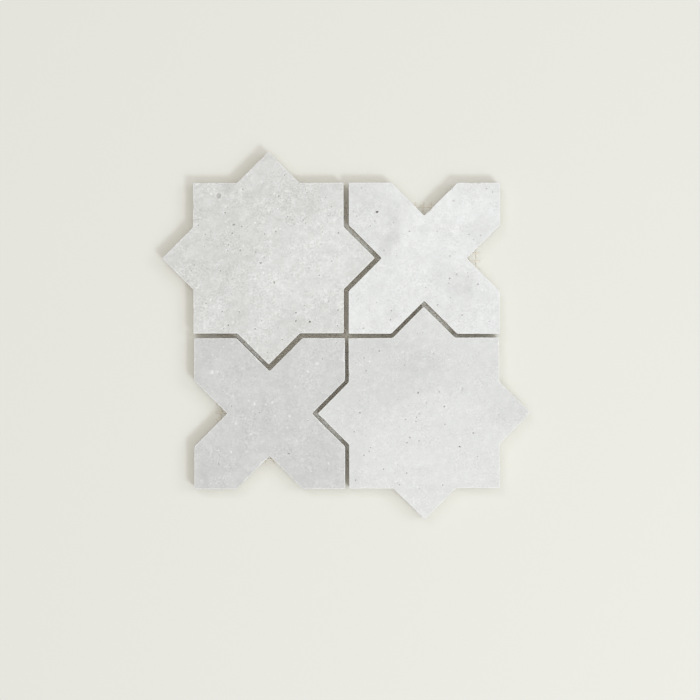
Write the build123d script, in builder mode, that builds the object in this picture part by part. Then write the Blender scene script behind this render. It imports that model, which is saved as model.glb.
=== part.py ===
"""Star-and-cross stone mosaic sheet.

Two eight-pointed stars and two crosses, sawn from slabs of pale stone, lie face up in a two-by-two
chequer with open joints, bonded to a square of glass-fibre mesh.

Frame: millimetres, +Z up out of the stone faces, +Y towards the top of the sheet. The origin is the
middle of the sheet on the underside of the mesh, which is what the sheet lies on.
"""

import os
from math import sqrt

from build123d import *

# Driving dimensions of the stones
MODULE = 100.0  # centre to centre of neighbouring stones
JOINT = 3.0  # open joint between neighbouring stones, to be grouted
STONE_THICKNESS = 10.0
ARRIS = 0.5  # eased edge round each stone's face
FACE_CORNER_RADIUS = 0.3  # corners of the face, inside the arris

# Driving dimensions of the glass-fibre mesh
STRAND_PITCH = 5.0
STRAND_WIDTH = 0.9
STRAND_THICKNESS = 0.25
MESH_REACH = 8.0  # how far the mesh shows past the root of each open notch, if it is laid in the middle
MESH_SHIFT_X = 1.2  # how far off the sheet's middle it was laid
MESH_SHIFT_Y = 1.9
MESH_TURN = -0.6  # how far askew it was laid, in degrees about +Z

# The stones' shapes follow from the module and the joint
stone_side = MODULE - JOINT
corner_radius = FACE_CORNER_RADIUS + ARRIS
# A star's points are the corners of its turned square. A cross clears that square by one joint all round.
point_square = stone_side
notch_square = point_square + 2 * JOINT
notch_root = MODULE - notch_square / sqrt(2)  # from a cross's centre to the root of its notch

# The mesh is cut square, a little past the notches' roots, with a space on each of its own centre lines
mesh_plane = Plane(origin=(MESH_SHIFT_X, MESH_SHIFT_Y, 0)).rotated((0, 0, MESH_TURN))
mesh_thickness = 2 * STRAND_THICKNESS  # one strand crossing over another
mesh_half = MODULE / 2 + notch_root + MESH_REACH
first_strand = STRAND_PITCH / 2
strand_count = 1 + int((mesh_half - first_strand - STRAND_WIDTH / 2) // STRAND_PITCH)
strand_row_middle = first_strand + (strand_count - 1) * STRAND_PITCH / 2

# Which way each quarter of the sheet lies from its middle, along X and Y
QUARTERS = {
    "north_west": (-1, 1),
    "north_east": (1, 1),
    "south_west": (-1, -1),
    "south_east": (1, -1),
}
STAR_QUARTERS = ("north_west", "south_east")


def stone_plane(quarter):
    """The plane of a stone's back, at the middle of its quarter of the sheet."""
    side_x, side_y = QUARTERS[quarter]
    return Plane(origin=(side_x * MODULE / 2, side_y * MODULE / 2, mesh_thickness))


def write(piece, name):
    """Labels a finished piece and writes it as one file."""
    piece.label = name
    export_step(piece, f"parts/{name}.step")


def star_stone(quarter):
    """A star: a square over the same square turned by 45 degrees, with its edge eased."""
    with BuildPart() as star:
        with BuildSketch(stone_plane(quarter)) as outline:
            Rectangle(stone_side, stone_side)
            Rectangle(point_square, point_square, rotation=45)
            fillet(outline.vertices(), radius=corner_radius)
        extrude(amount=STONE_THICKNESS)
        chamfer(star.faces().sort_by(Axis.Z)[-1].edges(), length=ARRIS)
    return star.part


def cross_stone(quarter):
    """A cross: a square with a notch in each side that clears the point of the star beside it."""
    with BuildPart() as cross:
        with BuildSketch(stone_plane(quarter)) as outline:
            Rectangle(stone_side, stone_side)
            with PolarLocations(MODULE, 4):
                Rectangle(notch_square, notch_square, rotation=45, mode=Mode.SUBTRACT)
            fillet(outline.vertices(), radius=corner_radius)
        extrude(amount=STONE_THICKNESS)
        chamfer(cross.faces().sort_by(Axis.Z)[-1].edges(), length=ARRIS)
    return cross.part


def mesh_quarter(quarter):
    """A quarter of the mesh, cut on its centre lines: strands across fused on top of strands up the sheet."""
    side_x, side_y = QUARTERS[quarter]
    strand_middle = mesh_half / 2
    with BuildPart() as mesh:
        with BuildSketch(mesh_plane):
            with Locations((side_x * strand_row_middle, side_y * strand_middle)):
                with GridLocations(STRAND_PITCH, STRAND_PITCH, strand_count, 1):
                    Rectangle(STRAND_WIDTH, mesh_half)
        extrude(amount=STRAND_THICKNESS)
        with BuildSketch(mesh_plane.offset(STRAND_THICKNESS)):
            with Locations((side_x * strand_middle, side_y * strand_row_middle)):
                with GridLocations(STRAND_PITCH, STRAND_PITCH, 1, strand_count):
                    Rectangle(mesh_half, STRAND_WIDTH)
        extrude(amount=STRAND_THICKNESS)
    return mesh.part


os.makedirs("parts", exist_ok=True)
for quarter in QUARTERS:
    if quarter in STAR_QUARTERS:
        write(star_stone(quarter), f"star_{quarter}")
    else:
        write(cross_stone(quarter), f"cross_{quarter}")
    write(mesh_quarter(quarter), f"backing_mesh_{quarter}")
print(f"stone side {stone_side} mm, notch root {notch_root:.2f} mm from its cross's centre")
print(f"mesh {2 * mesh_half:.2f} mm square, {strand_count} strands each way in a quarter")
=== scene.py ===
"""Dresses the star-and-cross mosaic sheet: pitted stones, woven backing mesh, floor, light and camera.

Everything is in metres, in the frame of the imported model: +Z points up out of the stone faces, +Y towards the
top of the sheet, and the origin is the middle of the sheet's underside.
"""

from __future__ import annotations

import logging
import math
import random
from dataclasses import dataclass, field
from enum import Enum

import bmesh
import bpy
from bmesh.types import BMEdge, BMesh, BMFace, BMVert
from mathutils import Matrix, Vector, noise
from mathutils.geometry import intersect_point_line


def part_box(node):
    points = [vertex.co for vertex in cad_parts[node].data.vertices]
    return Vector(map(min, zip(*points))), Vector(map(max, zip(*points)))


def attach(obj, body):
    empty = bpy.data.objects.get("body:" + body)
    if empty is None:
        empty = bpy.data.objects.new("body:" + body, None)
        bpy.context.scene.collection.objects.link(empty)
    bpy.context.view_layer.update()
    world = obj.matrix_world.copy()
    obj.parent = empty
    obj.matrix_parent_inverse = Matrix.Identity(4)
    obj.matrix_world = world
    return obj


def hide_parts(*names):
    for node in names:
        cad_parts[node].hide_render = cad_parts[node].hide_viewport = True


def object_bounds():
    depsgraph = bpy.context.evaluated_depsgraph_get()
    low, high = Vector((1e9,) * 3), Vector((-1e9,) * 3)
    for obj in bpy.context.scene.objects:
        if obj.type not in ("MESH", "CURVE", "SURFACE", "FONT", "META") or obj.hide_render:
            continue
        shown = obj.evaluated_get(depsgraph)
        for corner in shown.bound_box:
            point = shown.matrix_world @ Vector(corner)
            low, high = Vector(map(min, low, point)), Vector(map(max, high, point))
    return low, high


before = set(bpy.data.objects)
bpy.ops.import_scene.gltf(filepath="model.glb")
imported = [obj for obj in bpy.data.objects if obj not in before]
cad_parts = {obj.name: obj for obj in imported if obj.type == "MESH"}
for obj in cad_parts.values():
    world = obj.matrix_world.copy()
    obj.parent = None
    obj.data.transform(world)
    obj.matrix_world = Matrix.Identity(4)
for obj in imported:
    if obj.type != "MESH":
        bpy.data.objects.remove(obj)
cad_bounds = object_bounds()

LOG = logging.getLogger("mosaic_sheet")
SHEET_BODY = "root"
MM = 0.001
UP = Vector((0.0, 0.0, 1.0))

Colour = tuple[float, float, float]


class StoneShape(Enum):
    """The two outlines that the stones are cut to."""

    STAR = "star"
    CROSS = "cross"


class PitKind(Enum):
    """What a mark on a stone's face is: its depth against its length, its darkening, which is staining together with
    painted shade in the hollow, its pale rim, which on pits with depth carries a painted highlight, and its halo.
    """

    OPEN = (0.42, 0.34, 1.3, 2.1)
    DEEP = (0.7, 0.72, 0.6, 1.8)
    WORN = (0.15, 0.42, 0.8, 1.5)
    RUST = (0.12, 0.3, 0.1, 1.5)
    CHALK = (0.0, 0.0, 1.6, 1.4)
    SMUDGE = (0.0, 0.0, 1.1, 1.4)


class YarnRun(Enum):
    """Which way a yarn of the backing mesh runs. The value is the index of that axis."""

    ALONG_X = 0
    ALONG_Y = 1


class NodeBench:
    """Adds nodes to one shader tree and wires them together."""

    def __init__(self, tree: bpy.types.NodeTree) -> None:
        """Takes the tree that the nodes go into.

        Args:
            tree: a material's tree or a node group.
        """
        self.tree = tree

    def feed(self, socket: bpy.types.NodeSocket, value: object) -> None:
        """Links an input to another node's output, or sets its value.

        Args:
            socket: the input to fill.
            value: an output socket, or a plain value.
        """
        if isinstance(value, bpy.types.NodeSocket):
            self.tree.links.new(value, socket)
        elif socket.type == "RGBA" and len(value) == 3:
            socket.default_value = (*value, 1.0)
        else:
            socket.default_value = value

    def node(self, kind: str, inputs: dict[str, object] | None = None, **settings: object) -> bpy.types.Node:
        """Adds a node, sets its options and fills its inputs.

        Args:
            kind: the node's type name.
            inputs: input names, with an output socket or a value for each.
            **settings: the node's own properties.

        Returns:
            The new node.
        """
        node = self.tree.nodes.new(kind)
        for name, value in settings.items():
            setattr(node, name, value)
        for name, value in (inputs or {}).items():
            self.feed(node.inputs[name], value)
        return node

    def group(self, tree: bpy.types.NodeTree, result: str, **inputs: object) -> bpy.types.NodeSocket:
        """Places a node group.

        Args:
            tree: the group.
            result: the output that is wanted.
            **inputs: the group's inputs, with underscores for the spaces in their names.

        Returns:
            That output's socket.
        """
        named = {name.replace("_", " "): value for name, value in inputs.items()}
        return self.node("ShaderNodeGroup", named, node_tree=tree).outputs[result]

    def maths(self, operation: str, *values: object, clamp: bool = False) -> bpy.types.NodeSocket:
        """Works out one number.

        Args:
            operation: the Math node's operation.
            *values: its inputs in order.
            clamp: whether the result is held between 0 and 1.

        Returns:
            The result's socket.
        """
        node = self.node("ShaderNodeMath", operation=operation, use_clamp=clamp)
        for socket, value in zip(node.inputs, values):
            self.feed(socket, value)
        return node.outputs["Value"]

    def vector(self, operation: str, *values: object) -> bpy.types.NodeSocket:
        """Works out one vector, or one vector's length.

        Args:
            operation: the Vector Math node's operation.
            *values: its inputs in order.

        Returns:
            The result's socket.
        """
        node = self.node("ShaderNodeVectorMath", operation=operation)
        for socket, value in zip(node.inputs, values):
            self.feed(socket, value)
        return node.outputs["Value" if operation == "LENGTH" else "Vector"]

    def turn(self, vector: object, angle: object) -> bpy.types.NodeSocket:
        """Turns a place about the Z axis.

        Args:
            vector: the place.
            angle: how far, in radians.

        Returns:
            The turned place's socket.
        """
        values = {"Vector": vector, "Angle": angle}
        return self.node("ShaderNodeVectorRotate", values, rotation_type="Z_AXIS").outputs["Vector"]

    def noise(self, vector: object, scale: object, detail: float = 3.0, roughness: float = 0.55,
              result: str = "Fac") -> bpy.types.NodeSocket:
        """Adds a noise texture.

        Args:
            vector: where it is read.
            scale: waves to the metre.
            detail: how many finer layers it has.
            roughness: how strong each finer layer is.
            result: the output that is wanted.

        Returns:
            That output's socket.
        """
        values = {"Vector": vector, "Scale": scale, "Detail": detail, "Roughness": roughness}
        return self.node("ShaderNodeTexNoise", values).outputs[result]

    def ramp(self, value: object, low: object, high: object, start: object = 0.0,
             end: object = 1.0) -> bpy.types.NodeSocket:
        """Maps a range of values onto another, easing in and out.

        Args:
            value: what is mapped.
            low: the value that gives start.
            high: the value that gives end.
            start: the result at low.
            end: the result at high.

        Returns:
            The result's socket.
        """
        values = {"Value": value, "From Min": low, "From Max": high, "To Min": start, "To Max": end}
        return self.node("ShaderNodeMapRange", values, interpolation_type="SMOOTHSTEP").outputs["Result"]

    def blend(self, share: object, first: object, second: object) -> bpy.types.NodeSocket:
        """Blends two colours.

        Args:
            share: how much of the second shows.
            first: the colour at a share of 0.
            second: the colour at a share of 1.

        Returns:
            The result's socket.
        """
        node = self.node("ShaderNodeMix", data_type="RGBA", clamp_factor=True)
        colours = [socket for socket in node.inputs if socket.type == "RGBA"]
        self.feed(node.inputs[0], share)
        self.feed(colours[0], first)
        self.feed(colours[1], second)
        return next(socket for socket in node.outputs if socket.type == "RGBA")


class GroupBench(NodeBench):
    """A bench for one shared node group, with its named inputs and its one result."""

    SOCKETS = {float: "NodeSocketFloat", tuple: "NodeSocketVector"}

    def __init__(self, name: str, result: str, inputs: dict[str, float | tuple]) -> None:
        """Makes an empty group with its sockets.

        Args:
            name: the group's name.
            result: the name of its result, which is a number.
            inputs: input names with their usual values.
        """
        super().__init__(bpy.data.node_groups.new(name, "ShaderNodeTree"))
        for label, value in inputs.items():
            kind = self.SOCKETS[type(value)]
            socket = self.tree.interface.new_socket(name=label, in_out="INPUT", socket_type=kind)
            socket.default_value = value
        self.tree.interface.new_socket(name=result, in_out="OUTPUT", socket_type="NodeSocketFloat")
        self._given = self.tree.nodes.new("NodeGroupInput")
        self._result = self.tree.nodes.new("NodeGroupOutput")

    def given(self, name: str) -> bpy.types.NodeSocket:
        """One of the group's inputs."""
        return self._given.outputs[name]

    def give(self, value: bpy.types.NodeSocket) -> bpy.types.NodeTree:
        """Sends the result out of the group.

        Args:
            value: the result.

        Returns:
            The finished group.
        """
        self.feed(self._result.inputs[0], value)
        return self.tree


class StoneEffects:
    """The shader node groups that the stones' finishes share."""

    HERE = (0.0, 0.0, 0.0)

    def __init__(self) -> None:
        """Builds each group once."""
        self.tone = self._tone()
        self.busy = self._busy()
        self.patch = self._patch()
        self.specks = self._specks()
        self.relief = self._relief()

    def _tone(self) -> bpy.types.NodeTree:
        """Clouds, streaks, mottles, blotches and grain.

        Returns:
            A group that gives how far the stone is paler (above 0) or greyer (below 0) than its middle tone.
        """
        amounts = {"Clouds": 0.3, "Streaks": 0.2, "Mottles": 0.2, "Blotches": 0.2, "Grain": 0.1}
        group = GroupBench("stone_tone", "Tone", {"Vector": self.HERE, "Streak Turn": 0.0, **amounts})
        place = group.given("Vector")
        drawn = group.vector("MULTIPLY", group.turn(place, group.given("Streak Turn")), (0.3, 1.0, 1.0))
        layers = {
            "Clouds": group.noise(place, 30.0, 3.0, 0.5),
            "Streaks": group.noise(drawn, 90.0, 4.0, 0.6),
            "Mottles": group.noise(place, 170.0, 4.0, 0.68),
            "Grain": group.noise(place, 760.0, 3.0, 0.7),
        }
        patchy = group.ramp(group.noise(place, 330.0, 3.0, 0.6), 0.5, 0.68)
        total = group.maths("MULTIPLY", patchy, group.given("Blotches"))
        for name, texture in layers.items():
            centred = group.maths("SUBTRACT", texture, 0.5)
            total = group.maths("MULTIPLY_ADD", centred, group.given(name), total)
        return group.give(total)

    def _busy(self) -> bpy.types.NodeTree:
        """Where the stone is open and grainy, and where it is close and smooth.

        Returns:
            A group that gives a factor about 1 for the grain and the specks.
        """
        group = GroupBench("stone_busy", "Factor", {"Vector": self.HERE})
        return group.give(group.ramp(group.noise(group.given("Vector"), 75.0, 2.0), 0.36, 0.64, 0.45, 1.55))

    def _patch(self) -> bpy.types.NodeTree:
        """One soft-edged oval patch with a ragged outline.

        Returns:
            A group that gives 1 in the patch and 0 outside it.
        """
        values = {"Vector": self.HERE, "Centre": self.HERE, "Half Size": (0.01, 0.01, 1.0), "Turn": 0.0,
                  "Softness": 0.3, "Ragged": 0.01}
        group = GroupBench("stone_patch", "Mask", values)
        place = group.given("Vector")
        wander = group.vector("SUBTRACT", group.noise(place, 70.0, 4.0, 0.6, "Color"), (0.5, 0.5, 0.5))
        moved = group.vector("ADD", place, group.vector("MULTIPLY", wander, group.given("Ragged")))
        from_middle = group.vector("SUBTRACT", moved, group.given("Centre"))
        turned = group.turn(from_middle, group.maths("MULTIPLY", group.given("Turn"), -1.0))
        shrunk = group.vector("DIVIDE", turned, group.given("Half Size"))
        away = group.vector("LENGTH", group.vector("MULTIPLY", shrunk, (1.0, 1.0, 0.0)))
        inside = group.maths("SUBTRACT", 1.0, group.given("Softness"))
        outside = group.maths("ADD", 1.0, group.given("Softness"))
        return group.give(group.ramp(away, inside, outside, 1.0, 0.0))

    def _specks(self) -> bpy.types.NodeTree:
        """Scattered round specks, each in a cell of its own.

        Returns:
            A group that gives 1 in a speck and 0 outside.
        """
        values = {"Vector": self.HERE, "Cells": 500.0, "Share": 0.3, "Size": 0.25}
        group = GroupBench("stone_specks", "Mask", values)
        cells = group.node("ShaderNodeTexVoronoi", {"Vector": group.given("Vector"), "Scale": group.given("Cells")},
                           feature="F1", distance="EUCLIDEAN")
        lot = group.node("ShaderNodeSeparateColor", {"Color": cells.outputs["Color"]}).outputs["Red"]
        chosen = group.maths("LESS_THAN", lot, group.given("Share"))
        dot = group.ramp(cells.outputs["Distance"], 0.0, group.given("Size"), 1.0, 0.0)
        return group.give(group.maths("MULTIPLY", chosen, dot))

    def _relief(self) -> bpy.types.NodeTree:
        """The fine tooth of a cut stone surface.

        Returns:
            A group that gives a height for a bump.
        """
        group = GroupBench("stone_relief", "Height", {"Vector": self.HERE, "Tooth": 1500.0})
        place = group.given("Vector")
        tooth = group.noise(place, group.given("Tooth"), 3.0, 0.6)
        swell = group.noise(place, 160.0, 3.0, 0.5)
        return group.give(group.maths("MULTIPLY_ADD", swell, 1.5, tooth))


@dataclass(frozen=True)
class Patch:
    """A paler or greyer area of a stone's face, placed from the stone's centre.

    Attributes:
        x: centre along X.
        y: centre along Y.
        half_length: half of its longer side.
        half_width: half of its shorter side.
        turn: degrees from +X to its longer side.
        tone: how much paler (above 0) or greyer (below 0) it is.
        softness: how wide its edge is, as a share of its size.
        ragged: how far its outline wanders.
    """

    x: float
    y: float
    half_length: float
    half_width: float
    turn: float
    tone: float
    softness: float = 0.45
    ragged: float = 14 * MM


@dataclass(frozen=True)
class SpeckLayer:
    """One layer of specks in a stone.

    Attributes:
        cells: how many cells there are to the metre.
        size: how far a speck reaches, in cells.
    """

    cells: float
    size: float


@dataclass(frozen=True)
class StoneFinish:
    """The colours and markings of one stone.

    Attributes:
        name: the finish's name in the record.
        pale: its palest tone.
        grey: its greyest tone.
        clouds: strength of the large clouds.
        streaks: strength of the drawn-out streaks.
        streak_turn: degrees from +X to the streaks.
        mottles: strength of the small mottles.
        blotches: strength of the small pale blotches.
        grain: strength of the finest grain.
        bright_share: share of the cells that hold a bright speck.
        dark_share: share of the cells that hold a dark pore.
        crater_share: share of the cells that hold a shallow crater, dark with a pale fleck beside it.
        fleck: how white that fleck is.
        patches: the stone's own large areas.
    """

    name: str
    pale: Colour
    grey: Colour
    clouds: float
    streaks: float
    streak_turn: float
    mottles: float
    blotches: float
    grain: float
    bright_share: float
    dark_share: float
    crater_share: float
    fleck: float
    patches: tuple[Patch, ...] = ()

    # Dark pores and specks, and the pits' darkening, which is staining together with painted shade
    STAIN = (0.17, 0.14, 0.11)
    # Pale filling; the pits' pale crescents and the eased edges blend to it too, where it is partly a painted highlight
    CHALK = (0.93, 0.94, 0.93)
    SAW_DUST = (0.74, 0.65, 0.52)
    BRIGHT = SpeckLayer(420.0, 0.32)
    DARK = SpeckLayer(640.0, 0.26)
    FLECK = SpeckLayer(215.0, 0.38)
    CRATER = SpeckLayer(215.0, 0.2)
    FLECK_SHIFT = (0.9 * MM, -0.8 * MM, 0.0)
    RAGGED = (2.6 * MM, 2.6 * MM, 0.0)

    def _body_colour(self, bench: NodeBench, effects: StoneEffects, place: bpy.types.NodeSocket,
                     seed: Vector) -> bpy.types.NodeSocket:
        """The stone's own colour, without pits.

        Args:
            bench: the material's bench.
            effects: the shared groups.
            place: where the surface is, from the stone's centre.
            seed: moves the clouds, so that no two stones match.

        Returns:
            The colour's socket.
        """
        shifted = bench.vector("ADD", place, tuple(seed))
        busy = bench.group(effects.busy, "Factor", Vector=shifted)
        tone = bench.group(effects.tone, "Tone", Vector=shifted, Streak_Turn=math.radians(-self.streak_turn),
                           Clouds=self.clouds, Streaks=self.streaks, Mottles=self.mottles,
                           Blotches=self.blotches, Grain=bench.maths("MULTIPLY", busy, self.grain))
        for patch in self.patches:
            mask = bench.group(effects.patch, "Mask", Vector=place, Centre=(patch.x, patch.y, 0.0),
                               Half_Size=(patch.half_length, patch.half_width, 1.0),
                               Turn=math.radians(patch.turn), Softness=patch.softness, Ragged=patch.ragged)
            tone = bench.maths("MULTIPLY_ADD", mask, patch.tone, tone)
        share = bench.maths("ADD", tone, 0.5, clamp=True)
        colour = bench.blend(share, self.grey, self.pale)
        wander = bench.vector("SUBTRACT", bench.noise(place, 900.0, 2.0, 0.6, "Color"), (0.5, 0.5, 0.5))
        ragged = bench.vector("ADD", shifted, bench.vector("MULTIPLY", wander, self.RAGGED))
        beside = bench.vector("ADD", ragged, self.FLECK_SHIFT)
        for layer, where, amount, speck, strength in (
            (self.BRIGHT, shifted, self.bright_share, self.CHALK, 0.55),
            (self.DARK, shifted, self.dark_share, self.STAIN, 0.35),
            (self.FLECK, beside, self.crater_share, self.CHALK, self.fleck),
            (self.CRATER, ragged, self.crater_share, self.STAIN, 0.4),
        ):
            share = bench.maths("MULTIPLY", busy, amount)
            mask = bench.group(effects.specks, "Mask", Vector=where, Cells=layer.cells, Share=share, Size=layer.size)
            colour = bench.blend(bench.maths("MULTIPLY", mask, strength), colour, speck)
        return colour

    def honed(self, effects: StoneEffects, centre: Vector, seed: Vector) -> bpy.types.Material:
        """The rubbed face, with its pits and their pale rims; the rims and the eased edge are painted paler, pale
        filling and rubbing together with a painted highlight.

        Args:
            effects: the shared groups.
            centre: the middle of the stone.
            seed: moves the clouds.

        Returns:
            The material.
        """
        material, bench, place = self._start("honed", centre)
        colour = self._body_colour(bench, effects, place, seed)
        # Paleness: pale filling round pits and rubbed edges, together with painted highlights along the eased edge and
        # on each pit's lit side
        bleach = bench.node("ShaderNodeAttribute", attribute_name="bleach").outputs["Fac"]
        crumble = bench.ramp(bench.noise(place, 900.0, 3.0, 0.65), 0.3, 0.62)
        colour = bench.blend(bench.maths("MULTIPLY", bleach, crumble), colour, self.CHALK)
        roughness = bench.ramp(bench.noise(place, 240.0), 0.3, 0.7, 0.5, 0.68)
        height = bench.group(effects.relief, "Height", Vector=place)
        self._shade(material, bench, colour, roughness, height, 0.04 * MM)
        return material

    def sawn(self, effects: StoneEffects, centre: Vector, seed: Vector) -> bpy.types.Material:
        """The cut sides and back, with the upright marks of the cut and a film of dust.

        Args:
            effects: the shared groups.
            centre: the middle of the stone.
            seed: moves the clouds.

        Returns:
            The material.
        """
        material, bench, place = self._start("sawn", centre)
        colour = self._body_colour(bench, effects, place, seed)
        upright = bench.vector("MULTIPLY", place, (1.0, 1.0, 0.06))
        cuts = bench.noise(upright, 1300.0, 3.0, 0.6)
        colour = bench.blend(bench.ramp(cuts, 0.3, 0.7, 0.35, 0.75), colour, self.SAW_DUST)
        roughness = bench.ramp(cuts, 0.3, 0.7, 0.7, 0.85)
        tooth = bench.group(effects.relief, "Height", Vector=place, Tooth=1100.0)
        height = bench.maths("MULTIPLY_ADD", cuts, 2.0, tooth)
        self._shade(material, bench, colour, roughness, height, 0.06 * MM)
        return material

    def _start(self, surface: str, centre: Vector) -> tuple[bpy.types.Material, NodeBench, bpy.types.NodeSocket]:
        """Starts a material.

        Args:
            surface: which surface of the stone it is for.
            centre: the middle of the stone.

        Returns:
            The material, its bench, and the place of the surface from the stone's centre.
        """
        material = bpy.data.materials.new(f"{self.name}_{surface}")
        material.use_nodes = True
        bench = NodeBench(material.node_tree)
        coordinates = bench.node("ShaderNodeTexCoord").outputs["Object"]
        return material, bench, bench.vector("SUBTRACT", coordinates, tuple(centre))

    def _shade(self, material: bpy.types.Material, bench: NodeBench, colour: bpy.types.NodeSocket,
               roughness: bpy.types.NodeSocket, height: bpy.types.NodeSocket, depth: float) -> None:
        """Darkens a material's pits, with staining and painted shade together, and wires its surface.

        Args:
            material: the material.
            bench: its bench.
            colour: the colour without the pits' darkening.
            roughness: the roughness.
            height: the bump's height.
            depth: how far a height of 1 stands out.
        """
        # The pits' darkening: staining together with painted shade in their hollows
        stain = bench.node("ShaderNodeAttribute", attribute_name="stain").outputs["Fac"]
        shader = material.node_tree.nodes["Principled BSDF"]
        bump = bench.node("ShaderNodeBump", {"Height": height, "Distance": depth, "Strength": 0.6})
        bench.feed(shader.inputs["Base Color"], bench.blend(stain, colour, self.STAIN))
        bench.feed(shader.inputs["Roughness"], roughness)
        bench.feed(shader.inputs["Normal"], bump.outputs["Normal"])
        shader.inputs["Specular IOR Level"].default_value = 0.35


@dataclass(frozen=True)
class Pit:
    """A mark on a stone's face, placed from the stone's centre.

    Attributes:
        kind: what it is.
        x: centre along X.
        y: centre along Y.
        length: its longer side.
        turn: degrees from +X to its longer side, or nothing where that is left to chance.
        slimness: its shorter side against its longer one, or nothing where that is left to chance.
    """

    kind: PitKind
    x: float
    y: float
    length: float
    turn: float | None = None
    slimness: float | None = None

    @property
    def depth(self) -> float:
        """How deep it is."""
        return self.kind.value[0] * self.length

    @property
    def stain(self) -> float:
        """How dark its floor is painted: staining together with painted shade."""
        return self.kind.value[1]

    @property
    def rim(self) -> float:
        """How pale its rim is: pale filling, and on a pit with depth also a painted highlight on its lit side."""
        return self.kind.value[2]

    @property
    def halo(self) -> float:
        """How wide the ring round it is, against the pit."""
        return self.kind.value[3]

    @property
    def reach(self) -> float:
        """How far from its centre the ring round it goes at most."""
        return 0.56 * self.halo * self.length


def marks(kind: PitKind, *spots: tuple[float, float, float]) -> tuple[Pit, ...]:
    """Lists marks of one kind.

    Args:
        kind: what they are.
        *spots: each one's place along X and Y from the stone's centre and its length, in millimetres.

    Returns:
        The marks.
    """
    return tuple(Pit(kind, x * MM, y * MM, length * MM) for x, y, length in spots)


@dataclass(frozen=True)
class PitScatter:
    """The small pits that are strewn over a stone's face.

    Attributes:
        seed: fixes where they fall.
        count: how many there are.
        smallest: the shortest one's length.
        largest: the longest one's length.
        kinds: the kinds, with how often each comes up.
        lean: which way from the stone's centre they crowd, and how much.
    """

    seed: int
    count: int
    smallest: float = 0.4 * MM
    largest: float = 1.1 * MM
    kinds: tuple[tuple[PitKind, float], ...] = ((PitKind.OPEN, 0.6), (PitKind.CHALK, 0.35), (PitKind.DEEP, 0.05))
    lean: tuple[float, float] = (0.0, 0.0)

    CLUSTERS, CLUSTERING = 75.0, 0.8

    def draw(self, chance: random.Random, half: float) -> Pit | None:
        """Draws one pit of a chance kind, size and place.

        Args:
            chance: the source of chance.
            half: how far from the stone's centre it may lie along X and Y.

        Returns:
            The pit, or nothing where the pits are thin.
        """
        kind = chance.choices([kind for kind, _ in self.kinds], [weight for _, weight in self.kinds])[0]
        length = self.smallest + (self.largest - self.smallest) * chance.random() ** 2
        x, y = chance.uniform(-half, half), chance.uniform(-half, half)
        thinness = 0.4 - (x * self.lean[0] + y * self.lean[1]) / half
        thinness -= self.CLUSTERING * noise.noise(Vector((x * self.CLUSTERS, y * self.CLUSTERS, self.seed)))
        return Pit(kind, x, y, length) if chance.random() > thinness else None


@dataclass(frozen=True)
class Outline:
    """A stone's outline, measured from the stone's centre.

    Attributes:
        shape: star or cross.
        module: the distance between the centres of neighbouring stones.
        joint: the open joint between them.
    """

    shape: StoneShape
    module: float
    joint: float

    CORNERS = 16

    @property
    def side(self) -> float:
        """The side of the square that the outline is drawn on."""
        return self.module - self.joint

    @property
    def point(self) -> float:
        """How far a corner of that square is from the centre."""
        return self.side / math.sqrt(2)

    @property
    def notch_root(self) -> float:
        """How far the root of a cross's notch is from its centre."""
        return self.module - self.point - math.sqrt(2) * self.joint

    def corner(self, index: int) -> Vector:
        """One corner of the outline.

        Args:
            index: counts the sixteen corners round from +Y.

        Returns:
            The corner's place.
        """
        step = math.tau / self.CORNERS
        angle = index * step
        if self.shape is StoneShape.STAR:
            radius = self.point if index % 2 == 0 else self.side / 2 / math.cos(step)
        elif index % 4 == 0:
            radius = self.notch_root
        elif index % 4 == 2:
            radius = self.point
        else:
            mouth = self.side / 2 - self.notch_root
            radius = math.hypot(self.side / 2, mouth)
            off_axis = math.atan2(mouth, self.side / 2)
            angle = (index - 1) * step + off_axis if index % 4 == 1 else (index + 1) * step - off_axis
        return Vector((-math.sin(angle), math.cos(angle), 0.0)) * radius

    def room(self, spot: Vector) -> float:
        """How far inside the outline a place is.

        Args:
            spot: the place.

        Returns:
            Its distance from the nearest side, below 0 where it is outside.
        """
        corners = [self.corner(index) for index in range(self.CORNERS)]
        inside, nearest = False, math.inf
        for start, end in zip(corners, corners[1:] + corners[:1]):
            if (start.y > spot.y) != (end.y > spot.y):
                inside ^= start.x + (spot.y - start.y) / (end.y - start.y) * (end.x - start.x) > spot.x
            share = intersect_point_line(spot, start, end)[1]
            nearest = min(nearest, (spot - start.lerp(end, min(max(share, 0.0), 1.0))).length)
        return nearest if inside else -nearest


@dataclass(frozen=True)
class Station:
    """One point of a stone's outline.

    Attributes:
        place: where it is, on the stone's back.
        inward: which way the stone lies from it.
        arris: how wide its eased edge is.
        wear: how pale that edge is, rubbed and with a painted highlight along it.
    """

    place: Vector
    inward: Vector
    arris: float
    wear: float


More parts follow.
